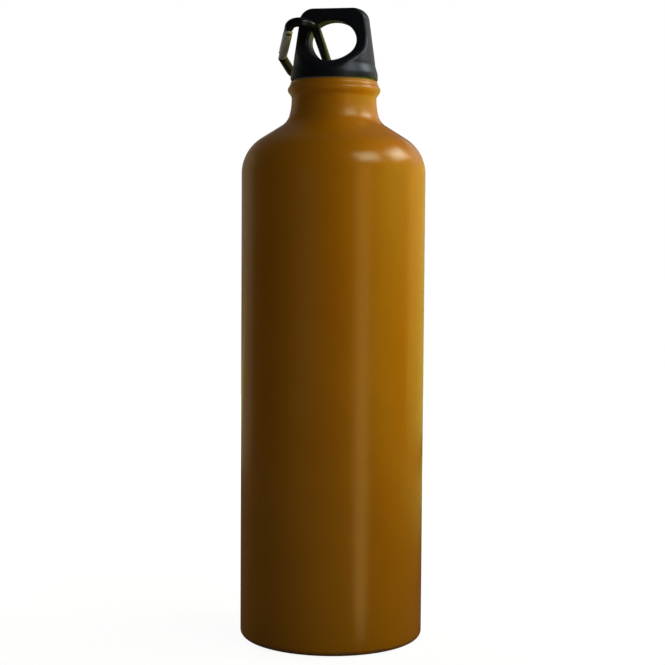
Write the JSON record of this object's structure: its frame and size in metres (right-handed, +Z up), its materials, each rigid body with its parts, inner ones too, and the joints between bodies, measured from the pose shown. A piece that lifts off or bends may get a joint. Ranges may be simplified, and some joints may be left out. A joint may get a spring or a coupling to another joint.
{
  "type": "water bottle",
  "caption": "Tall painted aluminium drinking bottle with a round shoulder, a screw cap that ends in a carrying loop, and a small carabiner with a sprung gate clipped round the loop.",
  "frame": {"origin": "centre of the base, on the surface that the bottle stands on", "axes": "+Z up along the bottle; the cap's loop lies along X, with the carabiner on its pillar at -X; -Y is the front"},
  "size_m": [0.08, 0.08, 0.274],
  "materials": {
    "shell_paint": "satin",
    "insert_plastic": "satin",
    "cap_plastic": "satin",
    "seal_silicone": "matte",
    "carabiner_black": "satin",
    "gate_metal": "satin",
    "rivet_brass": "satin",
    "pin_steel": "satin"
  },
  "bodies": {
    "bottle": {"bottle_shell": "shell_paint", "neck_thread_insert": "insert_plastic"},
    "seal": {"cap_seal": "seal_silicone"},
    "cap": {"cap_body": "cap_plastic"},
    "carabiner": {"carabiner_frame": "carabiner_black", "gate_hinge_rivet": "rivet_brass"},
    "gate": {"carabiner_gate": "gate_metal", "gate_latch_pin": "pin_steel", "gate_spring": "pin_steel"},
    "plunger": {"gate_plunger": "pin_steel"}
  },
  "joints": [
    {"name": "cap_rise", "type": "slide", "parent": "bottle", "child": "seal", "axis": [0, 0, 1], "range_m": [0, 0.0161]},
    {"name": "cap_unscrew", "type": "hinge", "parent": "seal", "child": "cap", "pos_m": [0, 0, 0.24337], "axis": [0, 0, 1], "range_deg": [0, 1440]},
    {"name": "carabiner_swing", "type": "hinge", "parent": "cap", "child": "carabiner", "pos_m": [0, 0, 0.26167], "axis": [1, 0, 0], "range_deg": [0, 45]},
    {"name": "gate_open", "type": "hinge", "parent": "carabiner", "child": "gate", "pos_m": [-0.01867, -0.00813, 0.26402], "axis": [0.0993, -0.4079, -0.9076], "range_deg": [0, 18], "stiffness_Nm_per_rad": 0.02, "springref_deg": -17.19},
    {"name": "plunger_push", "type": "slide", "parent": "gate", "child": "plunger", "axis": [-0.319, 0.8509, -0.4173], "range_m": [0, 0.0005], "deforming": ["gate_spring"]}
  ],
  "couplings": [
    {"joint": "cap_rise", "follows": "cap_unscrew", "m_per_rad": 0.00063662},
    {"joint": "plunger_push", "follows": "gate_open", "m_per_rad": 0.00131}
  ]
}
